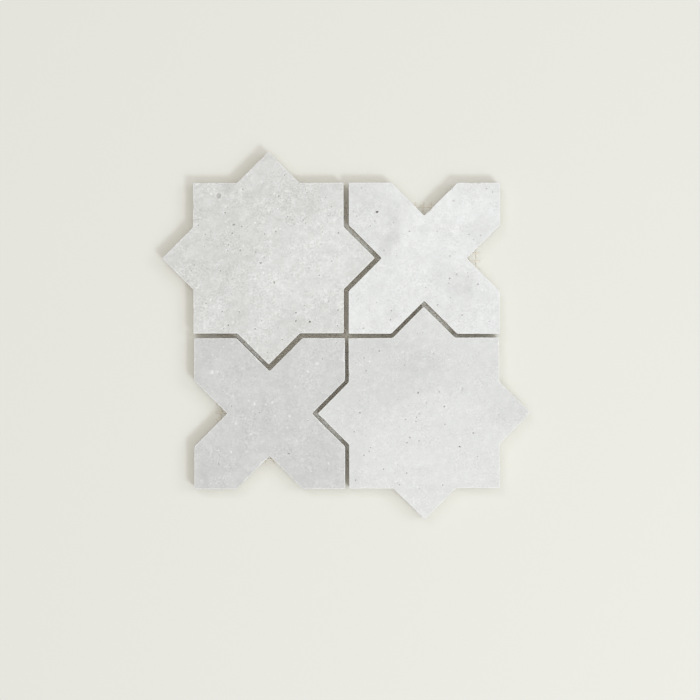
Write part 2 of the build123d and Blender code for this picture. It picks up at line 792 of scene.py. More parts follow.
@dataclass
class Stone:
    """One stone of the sheet, with its eased edges, chips and pits.

    Attributes:
        node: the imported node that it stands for.
        shape: its outline.
        finish: its colours.
        scatter: its small pits.
        pits: its own larger marks.
        set_off: how far it was set by hand from its true place, along X and Y, and how far turned in degrees.
        joint: the open joint beside it.
        corner_radius: how its corners are rounded.
        worn: corners that are rounded more, by the outline's count, with their radii.
        arris: the usual width of its eased edge.
        station_gap: about how far apart its outline's points are.
        chips: how many larger chips its edge has.
        wall_rows: rows of faces up its sides.
        wall_pits: share of the side faces that have a pit.
    """

    node: str
    shape: StoneShape
    finish: StoneFinish
    scatter: PitScatter
    pits: tuple[Pit, ...] = ()
    set_off: tuple[float, float, float] = (0.0, 0.0, 0.0)
    joint: float = 3.0 * MM
    corner_radius: float = 0.8 * MM
    worn: dict[int, float] = field(default_factory=dict)
    arris: float = 0.2 * MM
    station_gap: float = 1.2 * MM
    chips: int = 10
    wall_rows: int = 4
    wall_pits: float = 0.025
    low: Vector = field(init=False)
    high: Vector = field(init=False)
    chance: random.Random = field(init=False)

    HONED, SAWN = 0, 1
    RIM_BAND = 0.5 * MM
    FIRST_CORNER = Vector((1.0, 0.1, 0.0))
    WALL_PIT_EDGE, WALL_PIT_DEPTH, WALL_PIT_SHIFT = 0.1 * MM, 0.35 * MM, 0.6
    # How dark the side pits' floors are painted: staining together with painted shade
    WALL_PIT_STAIN = 0.35
    WALL_PIT_RADII = (0.26, 0.42)
    WALL_PIT_RAGGED = (0.8, 1.15)

    def __post_init__(self) -> None:
        """Reads where the stone is and seeds its chances."""
        self.low, self.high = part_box(self.node)
        self.chance = random.Random(self.scatter.seed)

    @property
    def centre(self) -> Vector:
        """The middle of the stone."""
        return (self.low + self.high) / 2

    @property
    def outline(self) -> Outline:
        """The stone's outline."""
        return Outline(self.shape, 2 * abs(self.centre.x), self.joint)

    @property
    def seat(self) -> Matrix:
        """Takes a place measured from the stone's centre to where it was set, at height 0."""
        along_x, along_y, turn = self.set_off
        shift = Matrix.Translation((self.centre.x + along_x, self.centre.y + along_y, 0.0))
        return shift @ Matrix.Rotation(math.radians(turn), 4, "Z")

    def build(self) -> bpy.types.Object:
        """Models the stone.

        Returns:
            The stone's object, without finishes.
        """
        mesh = bmesh.new()
        mesh.verts.layers.float.new("bleach")
        mesh.verts.layers.float.new("stain")
        mesh.verts.layers.int.new("station")
        mesh.verts.layers.int.new("pit")
        stations = self._lay_back(mesh)
        rim = self._raise_sides(mesh, stations)
        self._pit_sides(mesh)
        self._pit_face(mesh, rim)
        bmesh.ops.recalc_face_normals(mesh, faces=mesh.faces)
        data = bpy.data.meshes.new(self.node)
        mesh.to_mesh(data)
        mesh.free()
        piece = bpy.data.objects.new(f"{self.node}_stone", data)
        bpy.context.scene.collection.objects.link(piece)
        return piece

    def _lay_back(self, mesh: BMesh) -> list[Station]:
        """Makes the stone's back, with its outline cut into short steps.

        Args:
            mesh: the empty mesh.

        Returns:
            The outline's points in order. Each vertex of the back keeps its point's index.
        """
        outline, seat = self.outline, self.seat
        ring = bmesh.ops.create_circle(mesh, cap_ends=True, segments=outline.CORNERS, radius=outline.side / 2)
        corners: dict[float, list[BMVert]] = {}
        for index, vertex in enumerate(ring["verts"]):
            vertex.co = seat @ outline.corner(index) + UP * self.low.z
            corners.setdefault(self.worn.get(index, self.corner_radius), []).append(vertex)
        for radius, vertices in corners.items():
            bmesh.ops.bevel(mesh, geom=vertices, offset=radius, offset_type="OFFSET", segments=3, profile=0.5,
                            affect="VERTICES", material=-1)
        for edge in [edge for edge in mesh.edges if edge.calc_length() > 4 * self.station_gap]:
            bmesh.ops.subdivide_edges(mesh, edges=[edge], cuts=round(edge.calc_length() / self.station_gap) - 1)
        back = max(mesh.faces, key=lambda face: len(face.verts))
        back.material_index = self.SAWN
        back.normal_update()
        index_layer = mesh.verts.layers.int["station"]
        vertices = [loop.vert for loop in back.loops]
        # The count starts at the same corner in each run, because the chips and pits are drawn along it
        first = max(range(len(vertices)), key=lambda index: vertices[index].co.dot(self.FIRST_CORNER))
        vertices = vertices[first:] + vertices[:first]
        inwards = []
        for index, vertex in enumerate(vertices):
            vertex[index_layer] = index
            along = vertices[(index + 1) % len(vertices)].co - vertices[index - 1].co
            inwards.append(back.normal.cross(along).normalized())
        widths = self._arris_widths(inwards)
        return [Station(vertex.co.copy(), inward, width, self.chance.uniform(0.6, 1.0))
                for vertex, inward, width in zip(vertices, inwards, widths)]

    def _arris_widths(self, inwards: list[Vector]) -> list[float]:
        """How wide the eased edge is at each point, with a chip here and there on the straights.

        Args:
            inwards: which way the stone lies from each point.

        Returns:
            One width for each point.
        """
        count = len(inwards)
        widths = [self.arris * self.chance.uniform(0.75, 1.2) for _ in inwards]
        straights = [index for index in range(count) if inwards[index - 3].dot(inwards[(index + 3) % count]) > 0.99]
        for middle in self.chance.sample(straights, self.chips):
            size = self.chance.uniform(0.4, 1.0) * MM
            for offset, share in ((-1, 0.45), (0, 1.0), (1, 0.55)):
                widths[(middle + offset) % count] += size * share
        return widths

    @staticmethod
    def _extrude(mesh: BMesh, ring: list[BMEdge]) -> tuple[list[BMVert], list[BMEdge], list[BMFace]]:
        """Extrudes closed rings of edges, leaving the new rings where the old ones are.

        Args:
            mesh: the mesh.
            ring: the edges of one or more rings.

        Returns:
            The new rings' vertices, their edges and the faces that join them to the old ones.
        """
        made = bmesh.ops.extrude_edge_only(mesh, edges=ring)["geom"]
        vertices = [item for item in made if isinstance(item, BMVert)]
        fresh = set(vertices)
        edges = [item for item in made if isinstance(item, BMEdge) and fresh.issuperset(item.verts)]
        faces = [item for item in made if isinstance(item, BMFace)]
        return vertices, edges, faces

    def _raise_sides(self, mesh: BMesh, stations: list[Station]) -> list[BMEdge]:
        """Raises the sides from the back, rounds the arris and paints it paler: rubbed, together with a painted
        highlight along it.

        Args:
            mesh: the mesh, with its back.
            stations: the outline's points.

        Returns:
            The edges round the face.
        """
        station_layer = mesh.verts.layers.int["station"]
        bleach = mesh.verts.layers.float["bleach"]
        height = self.high.z - self.low.z
        # Each row: share of the side's height, inset and drop as shares of the arris, further inset, wear, which is the
        # edge's paleness: rubbing together with a painted highlight
        rows = [(row / self.wall_rows, 0.0, 1.0, 0.0, 0.0) for row in range(1, self.wall_rows)]
        rows += [(1.0, 0.0, 1.0, 0.0, 0.7), (1.0, 0.3, 0.3, 0.0, 1.0), (1.0, 1.0, 0.0, 0.0, 1.0)]
        rows += [(1.0, 1.0, 0.0, self.RIM_BAND, 0.0)]
        ring = list(mesh.edges)
        for number, (share, inset, drop, band, wear) in enumerate(rows):
            vertices, ring, faces = self._extrude(mesh, ring)
            for vertex in vertices:
                station = stations[vertex[station_layer]]
                rise = (height - drop * station.arris) * share
                vertex.co = station.place + station.inward * (inset * station.arris + band) + UP * rise
                # The eased edge is painted paler: rubbing together with a painted highlight along it
                vertex[bleach] = wear * station.wear
            for face in faces:
                face.material_index = self.SAWN if number < self.wall_rows else self.HONED
                face.smooth = number in (self.wall_rows, self.wall_rows + 1)
        return sorted(ring, key=lambda edge: sorted(vertex[station_layer] for vertex in edge.verts))

    def _pit_sides(self, mesh: BMesh) -> None:
        """Opens a few pits in the stone's sides.

        Args:
            mesh: the mesh, with its sides.
        """
        stain = mesh.verts.layers.float["stain"]
        wide = [face for face in mesh.faces
                if face.material_index == self.SAWN and len(face.verts) == 4
                and min(edge.calc_length() for edge in face.edges) > 0.8 * self.station_gap]
        station = mesh.verts.layers.int["station"]
        wide.sort(key=lambda face: (sorted(vertex[station] for vertex in face.verts), face.calc_center_median().z))
        apart: list[BMFace] = []
        for face in self.chance.sample(wide, round(self.wall_pits * len(wide))):
            if not any(set(face.verts) & set(other.verts) for other in apart):
                apart.append(face)
        bmesh.ops.inset_individual(mesh, faces=apart, thickness=self.WALL_PIT_EDGE, use_even_offset=True)
        for edge in [edge for face in apart for edge in face.edges]:
            bmesh.ops.subdivide_edges(mesh, edges=[edge], cuts=1)
        chance = random.Random(self.scatter.seed)
        for face in apart:
            self._round_off(face, chance)
        # Until the face is filled in and the normals are set, the sides' normals point into the stone
        bmesh.ops.inset_individual(mesh, faces=apart, thickness=self.WALL_PIT_EDGE, depth=self.WALL_PIT_DEPTH,
                                   use_even_offset=True)
        # The side pits' floors are painted darker: staining together with painted shade
        for vertex in {vertex for face in apart for vertex in face.verts}:
            vertex[stain] = self.WALL_PIT_STAIN

    @staticmethod
    def _round_off(face: BMFace, chance: random.Random) -> None:
        """Makes a small upright face of a side into a ragged round, a little above or below its middle.

        Args:
            face: the face, with a vertex in the middle of each edge.
            chance: the chances of its size and place.
        """
        face.normal_update()
        middle, across = face.calc_center_median(), UP.cross(face.normal).normalized()
        aways = [vertex.co - middle for vertex in face.verts]
        half_width = max(away.dot(across) for away in aways)
        half_height = max(away.z for away in aways)
        radius = chance.uniform(*Stone.WALL_PIT_RADII) * MM
        middle.z += chance.uniform(-Stone.WALL_PIT_SHIFT, Stone.WALL_PIT_SHIFT) * MM
        for vertex, away in zip(face.verts, aways):
            flat = Vector((away.dot(across) / half_width, away.z / half_height)).normalized()
            flat *= radius * chance.uniform(*Stone.WALL_PIT_RAGGED)
            vertex.co = middle + across * flat.x + UP * flat.y

    def _strewn(self) -> list[Pit]:
        """Strews the small pits over the face, clear of its edge and of each other.

        Returns:
            The listed marks, and then the strewn ones.
        """
        outline = self.outline
        half = outline.point if self.shape is StoneShape.STAR else outline.side / 2
        placed = list(self.pits)
        for _ in range(20 * self.scatter.count):
            pit = self.scatter.draw(self.chance, half)
            if len(placed) == len(self.pits) + self.scatter.count:
                break
            if pit is None or outline.room(Vector((pit.x, pit.y, 0.0))) < pit.reach + 1.8 * MM:
                continue
            if all(math.hypot(pit.x - other.x, pit.y - other.y) > pit.reach + other.reach for other in placed):
                placed.append(pit)
        return placed

    def _pit_face(self, mesh: BMesh, rim: list[BMEdge]) -> None:
        """Fills the face round its pits, hollows them out and paints them: darker deeper in, staining together with
        painted shade, and pale at the rim, pale filling with a painted highlight on each pit's lit side.

        Args:
            mesh: the mesh, with its sides.
            rim: the edges round the face.
        """
        pits = self._strewn()
        pit_layer = mesh.verts.layers.int["pit"]
        bleach, stain = mesh.verts.layers.float["bleach"], mesh.verts.layers.float["stain"]
        seat = self.seat
        middles = [seat @ Vector((pit.x, pit.y, 0.0)) for pit in pits]
        ring = [edge for number, pit in enumerate(pits) for edge in self._pit_outline(mesh, pit, number)]
        filled = bmesh.ops.triangle_fill(mesh, use_beauty=True, edges=rim + ring, normal=UP)["geom"]
        for face in [item for item in filled if isinstance(item, BMFace)]:
            face.material_index = self.HONED
        # Each ring: its width and depth as shares of the pit's, its paleness (pale filling and a painted highlight) and
        # its darkening (staining together with painted shade, darker deeper in)
        rings = ((1.0, 0.0, 1.0, 0.25), (0.88, 0.5, 0.3, 0.9), (0.55, 1.0, 0.0, 1.0))
        # Each pit's pale crescent faces a chance side near the upper left, the wall that the lamps from the lower right
        # light: a painted highlight on pale filling
        lit_pale_sides = [Matrix.Rotation(self.chance.gauss(2.2, 0.7), 3, "Z") @ Vector((1.0, 0.0, 0.0)) for _ in pits]
        # How dark each pit is painted, by chance
        pit_darkness = [self.chance.uniform(0.6, 1.1) for _ in pits]
        for step, (share, sink, pale, dark) in enumerate(rings):
            vertices, ring, faces = self._extrude(mesh, ring)
            for vertex in vertices:
                pit, middle = pits[vertex[pit_layer]], middles[vertex[pit_layer]]
                place = middle + (vertex.co - middle) * (share / (rings[step - 1][0] if step else pit.halo))
                vertex.co = Vector((place.x, place.y, self.high.z - sink * pit.depth))
                # Paler on the pit's lit side: a painted highlight
                facing = lit_pale_sides[vertex[pit_layer]].dot((place - middle).to_2d().to_3d().normalized())
                crescent = max(0.0, 0.6 + 0.6 * facing)
                vertex[bleach] = pit.rim * (pale * crescent if pit.depth else 1.15 - share)
                # Darker deeper in: staining together with painted shade in the hollow
                vertex[stain] = pit.stain * dark * pit_darkness[vertex[pit_layer]]
            for face in faces:
                face.material_index = self.HONED
                face.smooth = step > 0
            for edge in ring if step == 0 else ():
                edge.smooth = False
        for face in bmesh.ops.edgeloop_fill(mesh, edges=ring)["faces"]:
            face.material_index = self.HONED
            face.smooth = True

    def _pit_outline(self, mesh: BMesh, pit: Pit, number: int) -> list[BMEdge]:
        """Draws the ragged ring round one pit on the face.

        Args:
            mesh: the mesh.
            pit: the pit.
            number: the pit's index, which the ring's vertices keep.

        Returns:
            The ring's edges.
        """
        layer = mesh.verts.layers.int["pit"]
        length = pit.length / 2 * pit.halo
        width = length * (pit.slimness or self.chance.uniform(0.55, 0.95))
        angle = self.chance.uniform(0.0, math.pi) if pit.turn is None else math.radians(pit.turn)
        turn = Matrix.Rotation(angle, 4, "Z")
        place = self.seat @ Matrix.Translation((pit.x, pit.y, self.high.z)) @ turn
        corners = 9 if pit.length < 1.2 * MM else 13
        ring = bmesh.ops.create_circle(mesh, cap_ends=False, segments=corners, radius=1.0)["verts"]
        ring.sort(key=lambda vertex: math.atan2(vertex.co.y, vertex.co.x))
        for vertex in ring:
            ragged = self.chance.uniform(0.78, 1.12)
            vertex.co = place @ Vector((vertex.co.x * length * ragged, vertex.co.y * width * ragged, 0.0))
            vertex[layer] = number
        return list({edge: None for vertex in ring for edge in vertex.link_edges})

    def dress(self, piece: bpy.types.Object, effects: StoneEffects) -> None:
        """Gives the stone its finishes and its place in the frame.

        Args:
            piece: the stone's object.
            effects: the shared groups.
        """
        seed = Vector([self.chance.uniform(-5.0, 5.0) for _ in range(3)])
        piece.data.materials.append(self.finish.honed(effects, self.centre, seed))
        piece.data.materials.append(self.finish.sawn(effects, self.centre, seed))
        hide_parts(self.node)
        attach(piece, SHEET_BODY)


@dataclass(frozen=True)
class YarnFinish:
    """Resin-coated glass-fibre yarn.

    Attributes:
        run: which way its fibres run.
        light: its palest fibres.
        shade: its darker fibres.
    """

    run: YarnRun
    light: Colour = (0.91, 0.885, 0.81)
    shade: Colour = (0.78, 0.745, 0.65)

    def material(self) -> bpy.types.Material:
        """Fine fibres along the yarn under a thin glaze of resin.

        Returns:
            The material.
        """
        material = bpy.data.materials.new(f"glass_yarn_{self.run.name.lower()}")
        material.use_nodes = True
        bench = NodeBench(material.node_tree)
        place = bench.node("ShaderNodeTexCoord").outputs["Object"]
        squeeze = [1.0, 1.0, 1.0]
        squeeze[self.run.value] = 0.05
        fibres = bench.noise(bench.vector("MULTIPLY", place, tuple(squeeze)), 9000.0, 2.0)
        resin = bench.noise(place, 500.0)
        share = bench.maths("MULTIPLY_ADD", resin, 0.6, bench.maths("MULTIPLY", fibres, 0.5))
        shader = material.node_tree.nodes["Principled BSDF"]
        bump = bench.node("ShaderNodeBump", {"Height": fibres, "Distance": 0.03 * MM, "Strength": 0.7})
        bench.feed(shader.inputs["Base Color"], bench.blend(bench.ramp(share, 0.35, 0.75), self.shade, self.light))
        bench.feed(shader.inputs["Roughness"], bench.ramp(resin, 0.3, 0.7, 0.35, 0.6))
        bench.feed(shader.inputs["Normal"], bump.outputs["Normal"])
        return material


@dataclass
class BackingMesh:
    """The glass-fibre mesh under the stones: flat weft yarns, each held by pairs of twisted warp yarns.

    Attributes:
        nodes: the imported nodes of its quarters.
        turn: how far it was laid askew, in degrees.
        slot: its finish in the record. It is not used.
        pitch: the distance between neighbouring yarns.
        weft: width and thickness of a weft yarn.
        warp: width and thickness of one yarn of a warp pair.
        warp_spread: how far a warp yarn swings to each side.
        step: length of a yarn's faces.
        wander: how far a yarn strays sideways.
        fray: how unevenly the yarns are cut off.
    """

    nodes: list[str]
    turn: float = -0.6
    slot: str = "glass_fibre_mesh"
    pitch: float = 5.0 * MM
    weft: tuple[float, float] = (0.8 * MM, 0.17 * MM)
    warp: tuple[float, float] = (0.42 * MM, 0.16 * MM)
    warp_spread: float = 0.26 * MM
    step: float = 1.0 * MM
    wander: float = 0.35 * MM
    fray: float = 0.7 * MM
    middle: Vector = field(init=False)
    thickness: float = field(init=False)
    reach: float = field(init=False)

    SIDES = 8
    SEED = 11
    STRAY_SCALE, FRAY_SCALE = 28.0, 900.0

    def __post_init__(self) -> None:
        """Reads where the mesh was laid, and how far it reaches: a square's box is wider if the square is turned."""
        corners = [corner for node in self.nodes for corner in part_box(node)]
        low = Vector([min(corner[axis] for corner in corners) for axis in range(3)])
        high = Vector([max(corner[axis] for corner in corners) for axis in range(3)])
        turn = math.radians(abs(self.turn))
        self.middle = (low + high) / 2
        self.thickness = high.z - low.z
        self.reach = (high.x - low.x) / 2 / (math.cos(turn) + math.sin(turn))

    def build(self, node: str) -> bpy.types.Object:
        """Weaves one quarter of the mesh.

        Args:
            node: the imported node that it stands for.

        Returns:
            The quarter's object.
        """
        box_low, box_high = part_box(node)
        towards = (box_low + box_high) / 2 - self.middle
        far = [math.copysign(self.reach, towards[axis]) for axis in (0, 1)]
        low, high = Vector([min(0.0, end) for end in far]), Vector([max(0.0, end) for end in far])
        mesh = bmesh.new()
        self._repeat(mesh, YarnRun.ALONG_X, low, high, self._spin_yarn(mesh, YarnRun.ALONG_X, low, high, self.weft))
        swing = (self.thickness - self.warp[1]) / 2
        for phase in (0.0, math.pi):
            yarn = self._spin_yarn(mesh, YarnRun.ALONG_Y, low, high, self.warp)
            self._twist(yarn, phase, swing)
            self._repeat(mesh, YarnRun.ALONG_Y, low, high, yarn)
        self._wander(mesh)
        lay = Matrix.Translation(self.middle) @ Matrix.Rotation(math.radians(self.turn), 4, "Z")
        bmesh.ops.transform(mesh, matrix=lay, verts=mesh.verts)
        bmesh.ops.recalc_face_normals(mesh, faces=mesh.faces)
        for face in mesh.faces:
            face.smooth = True
        data = bpy.data.meshes.new(node)
        mesh.to_mesh(data)
        mesh.free()
        piece = bpy.data.objects.new(f"{node}_weave", data)
        bpy.context.scene.collection.objects.link(piece)
        return piece

    def _spin_yarn(self, mesh: BMesh, run: YarnRun, low: Vector, high: Vector,
                   size: tuple[float, float]) -> list[BMVert]:
        """Spins one straight yarn along an axis, across the whole quarter.

        Args:
            mesh: the mesh.
            run: which way the yarn runs.
            low: the quarter's lowest corner, from the mesh's middle.
            high: the quarter's highest corner.
            size: the yarn's width and thickness.

        Returns:
            The yarn's vertices.
        """
        along, across = run.value, 1 - run.value
        old = set(mesh.verts)
        turn = Matrix.Rotation(math.pi / 2, 4, "Y" if run is YarnRun.ALONG_X else "X")
        ring = bmesh.ops.create_circle(mesh, cap_ends=True, segments=self.SIDES, radius=0.5, matrix=turn)["verts"]
        for vertex in ring:
            vertex.co[across] *= size[0]
            vertex.co.z *= size[1]
            vertex.co[along] = low[along]
        length = high[along] - low[along]
        steps = round(length / self.step)
        advance = Vector((0.0, 0.0, 0.0))
        advance[along] = length / steps
        bmesh.ops.spin(mesh, geom=ring[0].link_faces[:], cent=(0.0, 0.0, 0.0), axis=UP, dvec=advance, angle=0.0,
                       steps=steps, use_merge=False, use_duplicate=False)
        yarn = [vertex for vertex in mesh.verts if vertex not in old]
        for face in {face for vertex in yarn for face in vertex.link_faces}:
            face.material_index = along
        return yarn

    def _twist(self, yarn: list[BMVert], phase: float, swing: float) -> None:
        """Twists a warp yarn round its partner, over one weft yarn and under the next.

        Args:
            yarn: the yarn's vertices.
            phase: where its turn starts.
            swing: how far it goes up and down.
        """
        for vertex in yarn:
            angle = math.pi * (vertex.co.y / self.pitch - 0.5) + phase
            vertex.co.x += self.warp_spread * math.sin(angle)
            vertex.co.z += swing * math.cos(angle)

    def _repeat(self, mesh: BMesh, run: YarnRun, low: Vector, high: Vector, yarn: list[BMVert]) -> None:
        """Sets a yarn half a pitch from the mesh's middle, and copies it out to the edge.

        Args:
            mesh: the mesh.
            run: which way the yarn runs.
            low: the quarter's lowest corner, from the mesh's middle.
            high: the quarter's highest corner.
            yarn: the yarn's vertices.
        """
        across = 1 - run.value
        outward = Vector((0.0, 0.0, 0.0))
        outward[across] = self.pitch if high[across] > -low[across] else -self.pitch
        bmesh.ops.translate(mesh, verts=yarn, vec=outward / 2)
        geometry = list({item: None for vertex in yarn for item in (vertex, *vertex.link_edges, *vertex.link_faces)})
        count = int((high[across] - low[across] - self.pitch / 2) // self.pitch) + 1
        for number in range(1, count):
            copy = bmesh.ops.duplicate(mesh, geom=geometry)["geom"]
            vertices = [item for item in copy if isinstance(item, BMVert)]
            bmesh.ops.translate(mesh, verts=vertices, vec=outward * number)

    def _wander(self, mesh: BMesh) -> None:
        """Lets the yarns stray a little, and cuts them off unevenly at the mesh's edge.

        Args:
            mesh: the woven quarter.
        """
        noise.seed_set(self.SEED)
        for vertex in mesh.verts:
            place = vertex.co.copy()
            stray = noise.noise_vector(Vector((place.x, place.y, 0.3)) * self.STRAY_SCALE)
            vertex.co.x += stray.x * self.wander
            vertex.co.y += stray.y * self.wander
            for axis in (0, 1):
                if abs(place[axis]) > self.reach - self.step / 2:
                    lot = noise.noise(Vector((place[1 - axis] * self.FRAY_SCALE, axis * 7.0, 2.0)))
                    vertex.co[axis] += math.copysign(lot * self.fray, place[axis])

    def dress(self, piece: bpy.types.Object, node: str, yarns: list[bpy.types.Material]) -> None:
        """Gives a quarter its finish and its place in the frame.

        Args:
            piece: the quarter's object.
            node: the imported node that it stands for.
            yarns: the finishes of the yarns along X and along Y.
        """
        for material in yarns:
            piece.data.materials.append(material)
        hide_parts(node)
        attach(piece, SHEET_BODY)


@dataclass(frozen=True)
class SoftLamp:
    """A large round window of light, turned to the sheet.

    Attributes:
        name: what it is called.
        colour: its colour.
        share: how bright it makes a white floor, against 1 in all.
        azimuth: degrees from +X to the side that it is on.
        height: degrees above the floor.
        distance: how far it is from the sheet.
        size: how wide it is.
    """

    name: str
    colour: Colour
    share: float
    azimuth: float
    height: float
    distance: float
    size: float

    def hang(self) -> None:
        """Puts the lamp in the scene."""
        height, azimuth = math.radians(self.height), math.radians(self.azimuth)
        towards = Vector((math.cos(azimuth) * math.cos(height), math.sin(azimuth) * math.cos(height), math.sin(height)))
        lamp = bpy.data.lights.new(self.name, "AREA")
        lamp.shape = "DISK"
        lamp.size = self.size
        lamp.color = self.colour
        to_rim = math.hypot(self.distance, self.size / 2)
        lamp.energy = self.share * (math.pi * to_rim) ** 2 / math.sin(height)
        window = bpy.data.objects.new(self.name, lamp)
        window.location = towards * self.distance
        window.rotation_euler = towards.to_track_quat("Z", "Y").to_euler()
        bpy.context.scene.collection.objects.link(window)


@dataclass
class Studio:
    """The plain pale floor, the soft daylight and the camera that looks straight down.

    Attributes:
        floor_colour: colour of the floor.
        floor_half: half of the floor's side.
        fill_colour: colour of the light from all round.
        fill: how bright the light from all round makes a white floor, against 1 in all.
        lamps: the windows.
        look_at: the point that the camera is over.
        camera_height: how high the camera is over the stone faces.
        frame_width: how much the picture spans at the stone faces.
    """

    floor_colour: Colour = (0.805, 0.809, 0.763)
    floor_half: float = 3.0
    fill_colour: Colour = (1.06, 1.0, 0.93)
    fill: float = 0.46
    lamps: tuple[SoftLamp, ...] = (
        SoftLamp("near_window", (0.94, 1.0, 1.07), 0.15, -45.0, 53.0, 2.4, 0.5),
        SoftLamp("low_window", (0.94, 1.0, 1.07), 0.06, -45.0, 45.0, 2.4, 1.2),
        SoftLamp("far_window", (0.94, 1.0, 1.07), 0.05, 130.0, 55.0, 2.4, 0.7),
        SoftLamp("side_window", (0.94, 1.0, 1.07), 0.06, 8.0, 42.0, 2.6, 1.0),
        SoftLamp("skylight", (1.0, 1.0, 0.99), 0.22, 0.0, 87.0, 2.6, 3.4),
    )
    look_at: tuple[float, float] = (2.2 * MM, -9.18 * MM)
    camera_height: float = 1.2
    frame_width: float = 451.0 * MM

    SENSOR = 36.0

    def lay_floor(self) -> None:
        """Lays the floor that the sheet rests on."""
        mesh = bmesh.new()
        bmesh.ops.create_grid(mesh, x_segments=1, y_segments=1, size=self.floor_half)
        bmesh.ops.translate(mesh, verts=mesh.verts, vec=-UP * 0.02 * MM)
        data = bpy.data.meshes.new("floor")
        mesh.to_mesh(data)
        mesh.free()
        floor = bpy.data.objects.new("floor", data)
        bpy.context.scene.collection.objects.link(floor)
        material = bpy.data.materials.new("pale_floor")
        material.use_nodes = True
        shader = material.node_tree.nodes["Principled BSDF"]
        shader.inputs["Base Color"].default_value = (*self.floor_colour, 1.0)
        shader.inputs["Roughness"].default_value = 0.9
        shader.inputs["Specular IOR Level"].default_value = 0.1
        data.materials.append(material)

    def light(self) -> None:
        """Sets the light from all round and hangs the windows."""
        scene = bpy.context.scene
        scene.view_settings.view_transform = "Standard"
        scene.world = bpy.data.worlds.new("soft_room")
        scene.world.use_nodes = True
        sky = scene.world.node_tree.nodes["Background"]
        sky.inputs["Color"].default_value = (*self.fill_colour, 1.0)
        sky.inputs["Strength"].default_value = self.fill
        for lamp in self.lamps:
            lamp.hang()

    def place_camera(self, face: float) -> None:
        """Hangs the camera over the sheet.

        Args:
            face: height of the stone faces.
        """
        lens = bpy.data.cameras.new("camera")
        lens.sensor_width = self.SENSOR
        lens.lens = self.SENSOR * self.camera_height / self.frame_width
        camera = bpy.data.objects.new("camera", lens)
        camera.location = (*self.look_at, face + self.camera_height)
        bpy.context.scene.collection.objects.link(camera)
        bpy.context.scene.camera = camera


def pitted_star() -> Stone:
    """The star at the top left, the most pitted stone.

    Returns:
        The stone, ready to build.
    """
    finish = StoneFinish(
        "pitted_grey_stone", pale=(0.835, 0.846, 0.837), grey=(0.534, 0.537, 0.524), clouds=0.2, streaks=0.5,
        streak_turn=42.0, mottles=0.85, blotches=0.18, grain=1.35, bright_share=0.14, dark_share=0.1,
        crater_share=0.2, fleck=0.6,
        patches=(
            Patch(-45 * MM, 8 * MM, 34 * MM, 30 * MM, 60.0, -0.1),
            Patch(26 * MM, -2 * MM, 38 * MM, 26 * MM, 35.0, 0.11),
            Patch(-5 * MM, 38 * MM, 44 * MM, 10 * MM, 0.0, -0.05),
        ),
    )
    pits = (Pit(PitKind.WORN, -32 * MM, 40.4 * MM, 4 * MM, 62.0, 0.8),) + marks(
        PitKind.OPEN,
        (-16.6, 44.4, 1.5), (6.6, 40, 1.5), (-28, 29.4, 1.4), (-22.3, 21.7, 2.2), (-17.3, 20.6, 1.4),
        (-23.4, 16.2, 1.4), (-45.2, 21.3, 1.2), (-40.8, 15.5, 1.4), (-25.8, 8.8, 1.4), (-18.2, 5.2, 1.5),
        (-26.3, 5, 1.2), (-5.2, -3, 1.7), (-31, -8, 1.2), (-50, -8.2, 1.2), (22.3, 24.6, 1.4), (45, 16.2, 1.4),
        (40.8, -2, 1.2), (32.8, -11, 1.2), (44.6, -33.4, 1.5), (17.5, -35, 1.4), (17.5, -40.4, 1.5),
        (44.4, -43.6, 1.3), (-8.7, -45.5, 1.5), (-30, -34.2, 1.4), (-40.4, -29, 1.2), (-19, -34.5, 1.2),
        (8.7, -52.4, 1.2), (4.7, 17.3, 1.3), (-2.4, 15.5, 1.2), (3.6, -15.6, 1.7),
    ) + marks(PitKind.DEEP, (26.6, -41, 1.4)) + marks(
        PitKind.CHALK,
        (-34.9, 44.6, 1.8), (-36.8, 41.6, 2), (3.9, 41.6, 1.5), (8.8, 37.4, 1.4), (-26.1, 20.2, 1.4), (-16.2, 8, 1.6),
        (-4.8, -6.3, 1.4), (1, -7.2, 1.7), (-3.2, -9.3, 2), (0.5, -10.4, 1.2), (45, 9.8, 1.6), (37.8, -25, 1.4),
        (-35.2, -31.2, 1.7), (-37.4, -26.6, 1.8), (-8.5, 22.8, 1.7), (7.6, 18.8, 1.4), (9.5, -37.5, 2.2),
    )
    return Stone("star_north_west", StoneShape.STAR, finish, PitScatter(seed=11, count=220), pits,
                 set_off=(-0.35 * MM, 0.0, 0.15))


